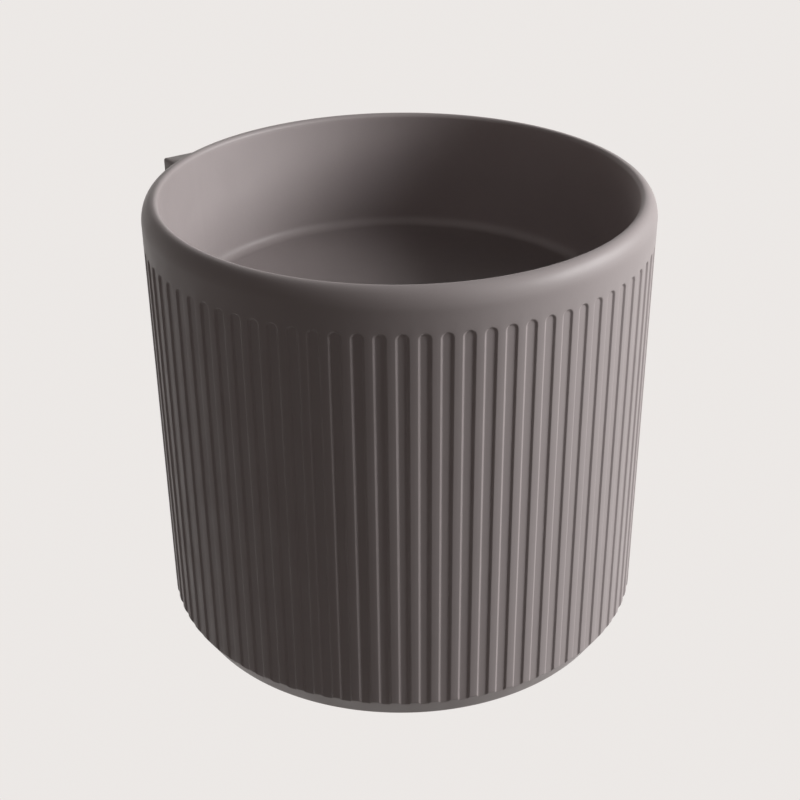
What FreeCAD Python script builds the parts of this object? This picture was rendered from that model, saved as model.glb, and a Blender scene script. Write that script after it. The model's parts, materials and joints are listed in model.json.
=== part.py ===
import FreeCAD, Part

import math
import os

import Sketcher
from FreeCAD import Placement, Rotation, Vector

# Wall hung drum basin: a bowl in the top of a tall fluted drum, hung on two studs, with its
# waste and bottle trap hidden inside the drum. Millimetres. The wall is the plane Y = 0, the
# basin stands out from it towards -Y, +Z is up, and the origin lies midway between the studs.

document = FreeCAD.newDocument("WallHungBasin")
sheet = document.addObject("Spreadsheet::Sheet", "sizes")
sub_parts = []


class Length:
    """A number together with the sheet formula that it comes from."""

    def __init__(self, number, formula):
        self.number = number
        self.formula = formula

    def combined(self, sign, other, work):
        other = as_length(other)
        return Length(work(self.number, other.number), f"({self.formula} {sign} {other.formula})")

    def __add__(self, other):
        return self.combined("+", other, lambda a, b: a + b)

    def __sub__(self, other):
        return self.combined("-", other, lambda a, b: a - b)

    def __mul__(self, other):
        return self.combined("*", other, lambda a, b: a * b)

    def __truediv__(self, other):
        return self.combined("/", other, lambda a, b: a / b)

    def __neg__(self):
        return as_length(0) - self


def as_length(value):
    return value if isinstance(value, Length) else Length(float(value), repr(float(value)))


def size(name, value):
    """Write one driving size into the sheet and hand it back as a Length."""
    cell = f"B{len(sheet.getUsedCells()) // 2 + 1}"
    sheet.set(cell.replace("B", "A"), name)
    sheet.set(cell, str(value))
    sheet.setAlias(cell, name)
    document.recompute()
    return Length(float(value), f"sizes.{name}")


# ---------------------------------------------------------------- driving sizes

# Drum, outside
drum_radius = size("drum_radius", 200.0)
drum_height = size("drum_height", 368.0)
bevel_inward = size("bevel_inward", 12.8)
bevel_height = size("bevel_height", 20.7)
lip_width = size("lip_width", 13.4)
lip_outer_round = size("lip_outer_round", 10.5)
lip_inner_round = size("lip_inner_round", 2.3)

# Flutes: shallow upright grooves with round tops; the slope of their walls is in degrees
flutes_all_round = 82
flute_width = size("flute_width", 9.3)
flute_depth = size("flute_depth", 2.3)
flute_slope = size("flute_slope", 35.0)
plain_band = size("plain_band", 31.3)
flute_clear_degrees = 1.0

# Bowl
bowl_depth = size("bowl_depth", 102.0)
bowl_draft = size("bowl_draft", 5.6)
bowl_corner = size("bowl_corner", 9.0)
bowl_fall = size("bowl_fall", 4.0)
bowl_floor_thickness = size("bowl_floor_thickness", 13.0)
shell_thickness = size("shell_thickness", 14.0)
foot_rim = size("foot_rim", 12.0)
hollow_corner = size("hollow_corner", 10.0)

# Rear block, which reaches the wall
wall_gap = size("wall_gap", 5.0)
block_past_stud = size("block_past_stud", 36.0)
block_below_rim = size("block_below_rim", 14.0)
block_round = size("block_round", 4.5)
block_side_thickness = size("block_side_thickness", 12.0)
back_panel_thickness = size("back_panel_thickness", 14.0)

# Wall fixing: the bolts' nut ends are drawn at the middle of their thread's depth
stud_radius = size("stud_radius", 5.0)
stud_thread_radius = size("stud_thread_radius", 4.5)
stud_spacing = size("stud_spacing", 140.0)
stud_drop = size("stud_drop", 29.5)
stud_into_wall = size("stud_into_wall", 65.0)
stud_point_length = size("stud_point_length", 8.0)
stud_point_radius = size("stud_point_radius", 1.0)
stud_past_nut = size("stud_past_nut", 10.0)
sleeve_thickness = size("sleeve_thickness", 1.8)
sleeve_flange_width = size("sleeve_flange_width", 7.65)
sleeve_flange_thickness = size("sleeve_flange_thickness", 2.0)
stud_washer_width = size("stud_washer_width", 8.5)
stud_washer_thickness = size("stud_washer_thickness", 2.0)
stud_nut_wall = size("stud_nut_wall", 4.0)
stud_nut_height = size("stud_nut_height", 8.0)

# Waste
waste_thread_radius = size("waste_thread_radius", 20.9)
waste_wall = size("waste_wall", 1.9)
waste_hole_clearance = size("waste_hole_clearance", 1.6)
waste_length = size("waste_length", 62.0)
flange_width = size("flange_width", 11.1)
flange_thickness = size("flange_thickness", 2.5)
flange_below_floor = size("flange_below_floor", 0.5)
recess_clearance = size("recess_clearance", 3.0)
seal_thickness = size("seal_thickness", 1.5)
cone_seal_height = size("cone_seal_height", 6.0)
cone_seal_top_width = size("cone_seal_top_width", 3.0)
slip_washer_thickness = size("slip_washer_thickness", 1.5)
back_nut_wall = size("back_nut_wall", 5.1)
back_nut_height = size("back_nut_height", 8.0)
bridge_drop = size("bridge_drop", 41.5)
bridge_thickness = size("bridge_thickness", 7.0)
bridge_width = size("bridge_width", 8.0)
bridge_hub_wall = size("bridge_hub_wall", 4.5)

# Push-to-open plug, drawn closed
cartridge_bore_radius = size("cartridge_bore_radius", 5.3)
cartridge_wall = size("cartridge_wall", 1.7)
cartridge_height = size("cartridge_height", 31.0)
cartridge_stem_radius = size("cartridge_stem_radius", 4.0)
cartridge_end_thickness = size("cartridge_end_thickness", 2.5)
rod_radius = size("rod_radius", 3.5)
piston_height = size("piston_height", 4.0)
plug_travel = size("plug_travel", 8.0)
plug_thickness = size("plug_thickness", 6.0)
plug_boss_wall = size("plug_boss_wall", 3.0)
plug_seal_inset = size("plug_seal_inset", 6.0)
plug_seal_width = size("plug_seal_width", 3.0)
plug_seal_depth = size("plug_seal_depth", 2.0)
plug_seal_proud = size("plug_seal_proud", 0.4)
plug_stop_gap = size("plug_stop_gap", 0.5)
spring_wire_radius = size("spring_wire_radius", 0.45)
spring_turns = 5
spring_steps_a_turn = 8

# Trap
pipe_radius = size("pipe_radius", 16.0)
pipe_wall = size("pipe_wall", 1.8)
trap_nut_wall = size("trap_nut_wall", 4.5)
trap_nut_height = size("trap_nut_height", 18.0)
trap_nut_lid = size("trap_nut_lid", 3.0)
trap_collar_thickness = size("trap_collar_thickness", 3.0)
trap_seal_thickness = size("trap_seal_thickness", 3.5)
trap_drop = size("trap_drop", 41.5)
trap_shoulder = size("trap_shoulder", 4.6)
trap_wall = size("trap_wall", 2.5)
trap_neck_height = size("trap_neck_height", 14.0)
trap_below_outlet = size("trap_below_outlet", 12.1)
trap_cup_height = size("trap_cup_height", 70.0)
trap_cup_collar_wall = size("trap_cup_collar_wall", 3.5)
trap_cup_collar_height = size("trap_cup_collar_height", 13.0)
trap_cup_edge = size("trap_cup_edge", 4.0)
grip_groove_radius = size("grip_groove_radius", 1.6)
inlet_tube_lift = size("inlet_tube_lift", 20.0)
outlet_shoulder = size("outlet_shoulder", 4.1)
outlet_stub = size("outlet_stub", 24.0)
outlet_socket = size("outlet_socket", 14.0)
pipe_into_wall = size("pipe_into_wall", 40.0)
pipe_mark_width = size("pipe_mark_width", 1.5)
pipe_mark_depth = size("pipe_mark_depth", 0.5)
pipe_hole_clearance = size("pipe_hole_clearance", 3.5)
rosette_width = size("rosette_width", 18.0)
rosette_depth = size("rosette_depth", 9.0)
rosette_wall = size("rosette_wall", 1.5)
rosette_fold = size("rosette_fold", 4.0)

# Clearances
tube_clearance = size("tube_clearance", 0.3)
thread_clearance = size("thread_clearance", 0.05)
running_clearance = size("running_clearance", 0.08)

# Cuts start this far outside the solid
cut_overrun = as_length(10)

# ---------------------------------------------------------------- places worked out from them

wall_distance = drum_radius + wall_gap
flute_top = drum_height - plain_band
block_height = drum_height - block_below_rim
block_width = stud_spacing + block_past_stud * 2
flange_radius = waste_thread_radius + flange_width
lip_inner_radius = drum_radius - lip_width
bowl_bottom_radius = lip_inner_radius - bowl_draft
bowl_rim_floor = drum_height - bowl_depth
bowl_drain_floor = bowl_rim_floor - bowl_fall
flange_top = bowl_drain_floor - flange_below_floor
flange_seat = flange_top - flange_thickness
recess_floor = flange_seat - seal_thickness
recess_radius = flange_radius + recess_clearance
bowl_underside = recess_floor - bowl_floor_thickness
hollow_radius = drum_radius - shell_thickness
foot_radius = drum_radius - bevel_inward
foot_opening_radius = foot_radius - foot_rim
back_panel_front = wall_distance - back_panel_thickness
waste_hole_radius = waste_thread_radius + waste_hole_clearance
waste_bore_radius = waste_thread_radius - waste_wall
waste_bottom = flange_top - waste_length
bridge_bottom = flange_top - bridge_drop
cartridge_bottom = bridge_bottom + bridge_thickness
cartridge_top = cartridge_bottom + cartridge_height
lid_underside = cartridge_top - cartridge_end_thickness
piston_top = lid_underside - plug_travel
piston_bottom = piston_top - piston_height
plug_radius = flange_radius
plug_bottom = flange_top + plug_stop_gap
trap_thread_radius = waste_thread_radius
trap_radius = trap_thread_radius + trap_shoulder
trap_top = waste_bottom - trap_drop
trap_neck_top = trap_top + trap_neck_height
outlet_height = trap_top - outlet_shoulder - trap_thread_radius
trap_head_bottom = outlet_height - trap_thread_radius - trap_below_outlet
trap_cup_bottom = trap_head_bottom - trap_cup_height
inlet_tube_bottom = trap_cup_bottom + inlet_tube_lift
stud_height = bowl_underside - stud_drop
sleeve_radius = stud_thread_radius + thread_clearance + sleeve_thickness
stud_hole_radius = sleeve_radius + tube_clearance


# ---------------------------------------------------------------- ways of building


def bind(item, name, length):
    """Give a property its value and tie it to the sheet."""
    length = as_length(length)
    item.setExpression(name, length.formula)


def new_body(label):
    body = document.addObject("PartDesign::Body", label)
    body.Label = label
    sub_parts.append(body)
    return body


def origin_feature(body, role):
    return next(item for item in body.Origin.OriginFeatures if item.Role == role)


def place(body, x, y, z, rotation=None):
    body.Placement = Placement(Vector(0, 0, 0), rotation or Rotation())
    bind(body, "Placement.Base.x", x)
    bind(body, "Placement.Base.y", y)
    bind(body, "Placement.Base.z", z)


def place_on_drum_axis(body):
    """Heights inside the drum are measured up from its foot."""
    place(body, 0, -wall_distance, -stud_height)


def new_sketch(body, role, offset=None):
    sketch = body.newObject("Sketcher::SketchObject", "Sketch")
    sketch.AttachmentSupport = (origin_feature(body, role), [""])
    sketch.MapMode = "FlatFace"
    if offset is not None:
        bind(sketch, "AttachmentOffset.Base.z", offset)
    return sketch


def hold(sketch, kind, axis, corner, length):
    """Hold one coordinate of a corner at a signed distance from the sketch's origin."""
    length = as_length(length)
    if length.number == 0:
        sketch.addConstraint(Sketcher.Constraint("PointOnObject", *corner, axis))
        return
    ends = (-1, 1) + corner
    if length.number < 0:
        ends = corner + (-1, 1)
        length = -length
    index = sketch.addConstraint(Sketcher.Constraint(kind, *ends, length.number))
    sketch.setExpression(f"Constraints[{index}]", length.formula)


def hold_point(sketch, corner, x, y):
    hold(sketch, "DistanceX", -2, corner, x)
    hold(sketch, "DistanceY", -1, corner, y)


def outline(sketch, corners):
    """A closed outline of straight runs through the corners."""
    spots = [Vector(as_length(x).number, as_length(y).number, 0) for x, y in corners]
    count = len(corners)
    for index in range(count):
        sketch.addGeometry(Part.LineSegment(spots[index], spots[(index + 1) % count]))
    for index in range(count):
        sketch.addConstraint(Sketcher.Constraint("Coincident", index, 2, (index + 1) % count, 1))
    for index, (x, y) in enumerate(corners):
        hold_point(sketch, (index, 1), x, y)
    return sketch


def circle(sketch, x, y, radius):
    spot = Vector(as_length(x).number, as_length(y).number, 0)
    index = sketch.addGeometry(Part.Circle(spot, Vector(0, 0, 1), radius.number))
    hold_point(sketch, (index, 3), x, y)
    rule = sketch.addConstraint(Sketcher.Constraint("Radius", index, radius.number))
    sketch.setExpression(f"Constraints[{rule}]", radius.formula)
    return sketch


def feature(body, kind, sketch):
    item = body.newObject(kind, kind.split("::")[1])
    item.Profile = sketch
    return item


def must_have_cut(item):
    """A cut that misses the solid would show no error, so its volume is compared."""
    document.recompute()
    if item.Shape.Volume > item.BaseFeature.Shape.Volume - 0.01:
        raise RuntimeError(f"{item.Label} of {item.getParentGeoFeatureGroup().Label} cuts nothing")


def revolve(body, corners):
    item = feature(body, "PartDesign::Revolution", outline(new_sketch(body, "XZ_Plane"), corners))
    item.ReferenceAxis = (item.Profile[0], ["V_Axis"])
    return item


def groove(body, corners):
    item = feature(body, "PartDesign::Groove", outline(new_sketch(body, "XZ_Plane"), corners))
    item.ReferenceAxis = (item.Profile[0], ["V_Axis"])
    must_have_cut(item)
    return item


def pad(body, sketch, length, reverse=False):
    item = feature(body, "PartDesign::Pad", sketch)
    item.Reversed = reverse
    bind(item, "Length", length)
    return item


def pocket(body, sketch, length=None, reverse=False):
    """A pocket of the given length, or right through."""
    item = feature(body, "PartDesign::Pocket", sketch)
    item.Reversed = reverse
    if length is None:
        item.Type = "ThroughAll"
    else:
        bind(item, "Length", length)
    must_have_cut(item)
    return item


def polar(body, original, count, angle=360.0):
    item = body.newObject("PartDesign::PolarPattern", "PolarPattern")
    item.Originals = [original]
    item.Axis = (origin_feature(body, "Z_Axis"), [""])
    item.Angle = angle
    item.Occurrences = count
    body.Tip = item
    document.recompute()
    return item


def round_edges(body, radius, wanted):
    """Round the edges that the test picks out."""
    document.recompute()
    base = body.Tip
    names = [f"Edge{n}" for n, edge in enumerate(base.Shape.Edges, 1) if wanted(edge)]
    item = body.newObject("PartDesign::Fillet", "Fillet")
    item.Base = (base, names)
    bind(item, "Radius", radius)
    return item


def is_ring(edge, radius, height):
    """True for a full round edge of this radius at this height."""
    if not isinstance(edge.Curve, Part.Circle):
        return False
    centre = edge.Curve.Center
    level = abs(centre.z - height.number) < 0.01
    return level and abs(edge.Curve.Radius - radius.number) < 0.01


def turned(label, corners):
    """A round piece: the outline, as pairs of radius and height, turned about Z."""
    body = new_body(label)
    revolve(body, corners)
    return body


def ring(label, inner, outer, low, high):
    return turned(label, [(inner, low), (outer, low), (outer, high), (inner, high)])


def hexagon(sketch, flats):
    """A hexagon of this size across its flats, with two flats facing along Y."""
    half = flats / 2
    corner = half * (2 / math.sqrt(3))
    corners = [(corner, 0), (corner / 2, half), (-corner / 2, half)]
    corners += [(-corner, 0), (-corner / 2, -half), (corner / 2, -half)]
    return outline(sketch, corners)


def hex_nut(label, flats, bore, low, height):
    body = new_body(label)
    pad(body, hexagon(new_sketch(body, "XY_Plane", low), flats), height)
    pocket(body, circle(new_sketch(body, "XY_Plane", low), 0, 0, bore), reverse=True)
    return body


def grip_grooves(body, radius, count=12):
    """Upright finger grooves round a hand-tightened nut."""
    centre = radius + grip_groove_radius / 2
    sketch = circle(new_sketch(body, "XY_Plane"), centre, 0, grip_groove_radius)
    polar(body, pocket(body, sketch, reverse=True), count)


def union_nut(label, thread, opening, low, height, lid, open_below=True):
    """A round nut: a threaded skirt and a lid with a hole for the tube."""
    outer = thread + trap_nut_wall
    high = low + height
    if open_below:
        shoulder = high - lid
        corners = [(thread, low), (outer, low), (outer, high), (opening, high)]
        corners += [(opening, shoulder), (thread, shoulder)]
    else:
        shoulder = low + lid
        corners = [(opening, low), (outer, low), (outer, high), (thread, high)]
        corners += [(thread, shoulder), (opening, shoulder)]
    body = turned(label, corners)
    grip_grooves(body, outer)
    return body


# ---------------------------------------------------------------- the casting


def drum_outline():
    corners = [(0, 0), (foot_radius, 0), (drum_radius, bevel_height)]
    return corners + [(drum_radius, drum_height), (0, drum_height)]


def add_rear_block(body):
    """The block joins the back of the drum to the wall, from the foot to just under the lip."""
    half = block_width / 2
    corners = [(-half, 0), (half, 0), (half, wall_distance), (-half, wall_distance)]
    pad(body, outline(new_sketch(body, "XY_Plane"), corners), block_height)

    def is_top_side(edge):
        middle = edge.CenterOfMass
        level = abs(middle.z - block_height.number) < 0.01
        return level and abs(abs(middle.x) - half.number) < 0.01

    round_edges(body, block_round, is_top_side)


def cut_bowl(body):
    above = drum_height + cut_overrun
    corners = [(0, recess_floor), (recess_radius, recess_floor), (recess_radius, bowl_drain_floor)]
    corners += [(bowl_bottom_radius, bowl_rim_floor), (lip_inner_radius, drum_height)]
    corners += [(lip_inner_radius, above), (0, above)]
    groove(body, corners)
    round_edges(body, bowl_corner, lambda edge: is_ring(edge, bowl_bottom_radius, bowl_rim_floor))


def round_lip(body):
    round_edges(body, lip_outer_round, lambda edge: is_ring(edge, drum_radius, drum_height))
    round_edges(body, lip_inner_round, lambda edge: is_ring(edge, lip_inner_radius, drum_height))


def hollow_underside(body):
    """Open below, so that the trap and the fixings can be reached; the foot turns in with the bevel."""
    below = -cut_overrun
    corners = [(0, below), (foot_opening_radius, below), (foot_opening_radius, 0)]
    corners += [(hollow_radius, bevel_height), (hollow_radius, bowl_underside), (0, bowl_underside)]
    groove(body, corners)
    round_edges(body, hollow_corner, lambda edge: is_ring(edge, hollow_radius, bowl_underside))
    half = block_width / 2 - block_side_thickness
    corners = [(-half, 0), (half, 0), (half, back_panel_front), (-half, back_panel_front)]
    pocket(body, outline(new_sketch(body, "XY_Plane"), corners), bowl_underside, reverse=True)


def cut_holes(body):
    waste = circle(new_sketch(body, "XY_Plane"), 0, 0, waste_hole_radius)
    pocket(body, waste, reverse=True)
    back = new_sketch(body, "XZ_Plane")
    circle(back, -stud_spacing / 2, stud_height, stud_hole_radius)
    circle(back, stud_spacing / 2, stud_height, stud_hole_radius)
    circle(back, 0, outlet_height, pipe_radius + pipe_hole_clearance)
    pocket(body, back)


def flute_outline(sketch):
    """An upright slot with a round top, open below the foot of the drum."""
    half = flute_width / 2
    spring_line = flute_top - half
    below = -cut_overrun
    left, right = -half.number, half.number
    low, high = below.number, spring_line.number
    sketch.addGeometry(Part.LineSegment(Vector(left, low, 0), Vector(right, low, 0)))
    sketch.addGeometry(Part.LineSegment(Vector(right, low, 0), Vector(right, high, 0)))
    arch = Part.Circle(Vector(0, high, 0), Vector(0, 0, 1), half.number)
    sketch.addGeometry(Part.ArcOfCircle(arch, 0, math.pi))
    sketch.addGeometry(Part.LineSegment(Vector(left, high, 0), Vector(left, low, 0)))
    sketch.addConstraint(Sketcher.Constraint("Coincident", 0, 2, 1, 1))
    sketch.addConstraint(Sketcher.Constraint("Tangent", 1, 2, 2, 1))
    sketch.addConstraint(Sketcher.Constraint("Tangent", 2, 2, 3, 1))
    sketch.addConstraint(Sketcher.Constraint("Coincident", 3, 2, 0, 1))
    sketch.addConstraint(Sketcher.Constraint("Vertical", 1))
    hold_point(sketch, (0, 1), -half, below)
    hold_point(sketch, (0, 2), half, below)
    hold(sketch, "DistanceY", -1, (2, 3), spring_line)
    return sketch


def flutes_clear_of_block():
    """How many flutes stand round the drum, evenly about its front, clear of the block."""
    pitch = 360.0 / flutes_all_round
    block_angle = math.degrees(math.asin(block_width.number / 2 / drum_radius.number))
    flute_angle = math.degrees(flute_width.number / 2 / drum_radius.number)
    free_angle = 180.0 - block_angle - flute_angle - flute_clear_degrees
    return 2 * math.floor(free_angle / pitch + 0.5), pitch


def cut_flutes(body):
    """A land faces the front, and the first flute is the one nearest the block."""
    count, pitch = flutes_clear_of_block()
    first = math.radians(-pitch * (count - 1) / 2)
    sketch = new_sketch(body, "XZ_Plane")
    sketch.AttachmentOffset = Placement(Vector(0, 0, 0), Rotation(Vector(0, 1, 0), math.degrees(first)))
    bind(sketch, "AttachmentOffset.Base.x", drum_radius * math.sin(first))
    bind(sketch, "AttachmentOffset.Base.z", drum_radius * math.cos(first))
    flute_outline(sketch)
    item = feature(body, "PartDesign::Pocket", sketch)
    bind(item, "Length", flute_depth)
    bind(item, "TaperAngle", -flute_slope)
    must_have_cut(item)
    polar(body, item, count, pitch * (count - 1))


def make_basin():
    body = new_body("basin_body")
    revolve(body, drum_outline())
    add_rear_block(body)
    cut_bowl(body)
    round_lip(body)
    hollow_underside(body)
    cut_holes(body)
    cut_flutes(body)
    place_on_drum_axis(body)


# ---------------------------------------------------------------- the waste


def make_waste_body():
    """Flange, threaded tube and the bridge across it that holds the click cartridge."""
    corners = [(waste_bore_radius, waste_bottom), (waste_thread_radius, waste_bottom)]
    corners += [(waste_thread_radius, flange_seat), (flange_radius, flange_seat)]
    corners += [(flange_radius, flange_top), (waste_bore_radius, flange_top)]
    body = turned("waste_body", corners)
    hub_radius = cartridge_stem_radius + bridge_hub_wall
    hub = circle(new_sketch(body, "XY_Plane", bridge_bottom), 0, 0, hub_radius)
    half_width = bridge_width / 2
    reach = (waste_bore_radius + waste_thread_radius) / 2
    corners = [(-reach, -half_width), (reach, -half_width), (reach, half_width), (-reach, half_width)]
    bar = outline(new_sketch(body, "XY_Plane", bridge_bottom), corners)
    pad(body, bar, bridge_thickness)
    pad(body, hub, bridge_thickness)
    stem_hole = circle(new_sketch(body, "XY_Plane"), 0, 0, cartridge_stem_radius + thread_clearance)
    pocket(body, stem_hole, reverse=True)
    place_on_drum_axis(body)


def make_waste_rings():
    inner = waste_thread_radius + tube_clearance
    outer = flange_radius
    place_on_drum_axis(ring("waste_top_seal", inner, outer, recess_floor, flange_seat))

    low = bowl_underside - cone_seal_height
    corners = [(inner, low), (outer, low), (outer, low + cone_seal_height / 2)]
    corners += [(waste_hole_radius + cone_seal_top_width, bowl_underside), (inner, bowl_underside)]
    place_on_drum_axis(turned("waste_cone_seal", corners))

    washer_low = low - slip_washer_thickness
    place_on_drum_axis(ring("waste_slip_washer", inner, outer, washer_low, low))

    bore = waste_thread_radius + thread_clearance
    flats = (waste_thread_radius + back_nut_wall) * 2
    nut_low = washer_low - back_nut_height
    place_on_drum_axis(hex_nut("waste_back_nut", flats, bore, nut_low, back_nut_height))


def make_cartridge():
    """Housing with a stem through the bridge, a bore for the spring and a holed lid."""
    bore_bottom = cartridge_bottom + cartridge_end_thickness
    cartridge_radius = cartridge_bore_radius + cartridge_wall
    lid_hole = rod_radius + running_clearance
    corners = [(0, bridge_bottom), (cartridge_stem_radius, bridge_bottom)]
    corners += [(cartridge_stem_radius, cartridge_bottom), (cartridge_radius, cartridge_bottom)]
    corners += [(cartridge_radius, cartridge_top), (lid_hole, cartridge_top), (lid_hole, lid_underside)]
    corners += [(cartridge_bore_radius, lid_underside), (cartridge_bore_radius, bore_bottom)]
    corners += [(0, bore_bottom)]
    place_on_drum_axis(turned("click_cartridge", corners))


def make_plunger():
    piston_radius = cartridge_bore_radius - running_clearance
    rod_top = plug_bottom + plug_thickness / 2
    corners = [(0, piston_bottom), (piston_radius, piston_bottom), (piston_radius, piston_top)]
    corners += [(rod_radius, piston_top), (rod_radius, rod_top), (0, rod_top)]
    place_on_drum_axis(turned("click_plunger", corners))


def make_plug():
    """Cap with a boss for the rod below it and a ring groove for its seal."""
    top = plug_bottom + plug_thickness
    rod_top = plug_bottom + plug_thickness / 2
    boss_bottom = cartridge_top + plug_stop_gap
    boss_radius = rod_radius + plug_boss_wall
    rod_hole = rod_radius + thread_clearance
    groove_top = plug_bottom + plug_seal_depth
    seal_outer = plug_radius - plug_seal_inset + plug_seal_width / 2
    seal_inner = seal_outer - plug_seal_width
    corners = [(0, rod_top + thread_clearance), (rod_hole, rod_top + thread_clearance)]
    corners += [(rod_hole, boss_bottom), (boss_radius, boss_bottom)]
    corners += [(boss_radius, plug_bottom), (seal_inner, plug_bottom), (seal_inner, groove_top)]
    corners += [(seal_outer, groove_top), (seal_outer, plug_bottom), (plug_radius, plug_bottom)]
    corners += [(plug_radius, top), (0, top)]
    body = turned("plug_cap", corners)
    round_edges(body, plug_thickness / 4, lambda edge: is_ring(edge, plug_radius, top))
    place_on_drum_axis(body)

    seal_bottom = plug_bottom - plug_seal_proud
    place_on_drum_axis(ring("plug_seal", seal_inner, seal_outer, seal_bottom, groove_top))


def spring_path(radius, low, high, turns):
    """A rising spiral made of quarter-turn arcs through points on the spiral."""
    steps = turns * spring_steps_a_turn
    edges = []

    def spot(step):
        angle = 2 * math.pi * step / spring_steps_a_turn
        height = low + (high - low) * step / steps
        return Vector(radius * math.cos(angle), radius * math.sin(angle), height)

    for step in range(0, steps, 2):
        edges.append(Part.Arc(spot(step), spot(step + 1), spot(step + 2)).toShape())
    return Part.Wire(edges)


def make_spring():
    """A coil between the bottom of the cartridge's bore and the piston."""
    wire = spring_wire_radius.number
    end_gap = tube_clearance.number / 3
    low = (cartridge_bottom + cartridge_end_thickness).number + wire + end_gap
    high = piston_bottom.number - wire - end_gap
    coil_radius = cartridge_bore_radius.number - wire - tube_clearance.number
    path = spring_path(coil_radius, low, high, spring_turns)
    start = path.Edges[0]
    along = start.tangentAt(start.FirstParameter)
    section = Part.Wire([Part.Circle(Vector(coil_radius, 0, low), along, wire).toShape()])
    coil = document.addObject("Part::Feature", "click_spring")
    coil.Label = "click_spring"
    coil.Shape = path.makePipeShell([section], True, False)
    sub_parts.append(coil)
    place_on_drum_axis(coil)


# ---------------------------------------------------------------- the trap


def make_inlet():
    """Seal, nut and tube under the waste: the tube's collar is held up by the nut's lid."""
    thread = waste_thread_radius + thread_clearance
    collar_top = waste_bottom - trap_seal_thickness
    collar_bottom = collar_top - trap_collar_thickness
    tube_inner = pipe_radius - pipe_wall
    seal = ring("trap_inlet_seal", tube_inner, waste_thread_radius, collar_top, waste_bottom)
    place_on_drum_axis(seal)

    corners = [(tube_inner, inlet_tube_bottom), (pipe_radius, inlet_tube_bottom)]
    corners += [(pipe_radius, collar_bottom), (waste_thread_radius, collar_bottom)]
    corners += [(waste_thread_radius, collar_top), (tube_inner, collar_top)]
    place_on_drum_axis(turned("trap_inlet_tube", corners))

    low = collar_bottom - trap_nut_lid
    opening = pipe_radius + tube_clearance
    nut = union_nut("trap_inlet_nut", thread, opening, low, trap_nut_height, trap_nut_lid, False)
    place_on_drum_axis(nut)


def make_trap_body():
    """Head of the trap: a can open below, with a threaded neck above and a side outlet."""
    bore = pipe_radius + tube_clearance
    can_bore = trap_radius - trap_wall
    corners = [(0, trap_head_bottom), (trap_radius, trap_head_bottom), (trap_radius, trap_top)]
    corners += [(trap_thread_radius, trap_top), (trap_thread_radius, trap_neck_top), (0, trap_neck_top)]
    body = turned("trap_body", corners)
    stub_end = trap_radius + outlet_stub
    stub = circle(new_sketch(body, "XZ_Plane"), 0, outlet_height, trap_thread_radius)
    pad(body, stub, stub_end, reverse=True)
    roof = trap_top - trap_wall
    below = trap_head_bottom - cut_overrun
    above = trap_neck_top + cut_overrun
    corners = [(0, below), (can_bore, below), (can_bore, roof), (bore, roof), (bore, above), (0, above)]
    groove(body, corners)
    waterway = circle(new_sketch(body, "XZ_Plane"), 0, outlet_height, pipe_radius - pipe_wall)
    pocket(body, waterway)
    socket = new_sketch(body, "XZ_Plane", outlet_socket - stub_end)
    circle(socket, 0, outlet_height, bore)
    pocket(body, socket)
    place_on_drum_axis(body)


def make_trap_top():
    bore = pipe_radius + tube_clearance
    seal_top = trap_neck_top + trap_seal_thickness
    seal = ring("trap_top_seal", bore, trap_thread_radius, trap_neck_top, seal_top)
    place_on_drum_axis(seal)
    low = seal_top + trap_nut_lid - trap_nut_height
    thread = trap_thread_radius + thread_clearance
    nut = union_nut("trap_top_nut", thread, bore, low, trap_nut_height, trap_nut_lid)
    place_on_drum_axis(nut)


def make_trap_cup():
    """Screw-off cup: its collar reaches up round the trap's head."""
    collar_bore = trap_radius + thread_clearance
    collar_outer = collar_bore + trap_cup_collar_wall
    ledge = trap_head_bottom - trap_wall
    collar_low = ledge - trap_cup_collar_wall
    collar_top = ledge + trap_cup_collar_height
    cup_bore = trap_radius - trap_wall
    floor = trap_cup_bottom + trap_wall
    corners = [(0, trap_cup_bottom), (trap_radius - trap_cup_edge, trap_cup_bottom)]
    corners += [(trap_radius, trap_cup_bottom + trap_cup_edge)]
    corners += [(trap_radius, collar_low), (collar_outer, collar_low), (collar_outer, collar_top)]
    corners += [(collar_bore, collar_top), (collar_bore, ledge), (cup_bore, ledge), (cup_bore, floor)]
    corners += [(0, floor)]
    body = turned("trap_cup", corners)
    grip_grooves(body, collar_outer, 20)
    place_on_drum_axis(body)
    seal = ring("trap_cup_seal", cup_bore, trap_radius, ledge, trap_head_bottom)
    place_on_drum_axis(seal)


def place_on_outlet(body):
    """Along the waste pipe, lengths are measured from the drum's axis towards the wall."""
    outlet_level = outlet_height - stud_height
    place(body, 0, -wall_distance, outlet_level, Rotation(Vector(1, 0, 0), -90))


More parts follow.
